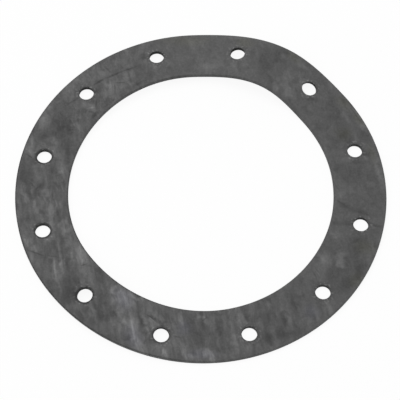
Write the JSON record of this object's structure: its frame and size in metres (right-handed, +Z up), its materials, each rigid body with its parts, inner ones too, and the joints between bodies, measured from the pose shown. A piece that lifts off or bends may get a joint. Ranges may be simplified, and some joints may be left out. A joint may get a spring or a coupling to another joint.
{
  "type": "rubber flange gasket",
  "caption": "Flat ring gasket die-cut from sheet rubber, with a wide bore and an even row of bolt holes, lying slightly rippled.",
  "frame": {"origin": "centre of the bore, on the plane that the flat part of the ring lies on", "axes": "+Z up, along the bore and the bolt holes; +X to the right and +Y away in the picture's view"},
  "size_m": [0.1374, 0.1374, 0.0061],
  "materials": {
    "rubber": "matte dark grey sheet rubber with a dusty bloom"
  },
  "bodies": {
    "root": {"gasket": "rubber"}
  },
  "joints": []
}
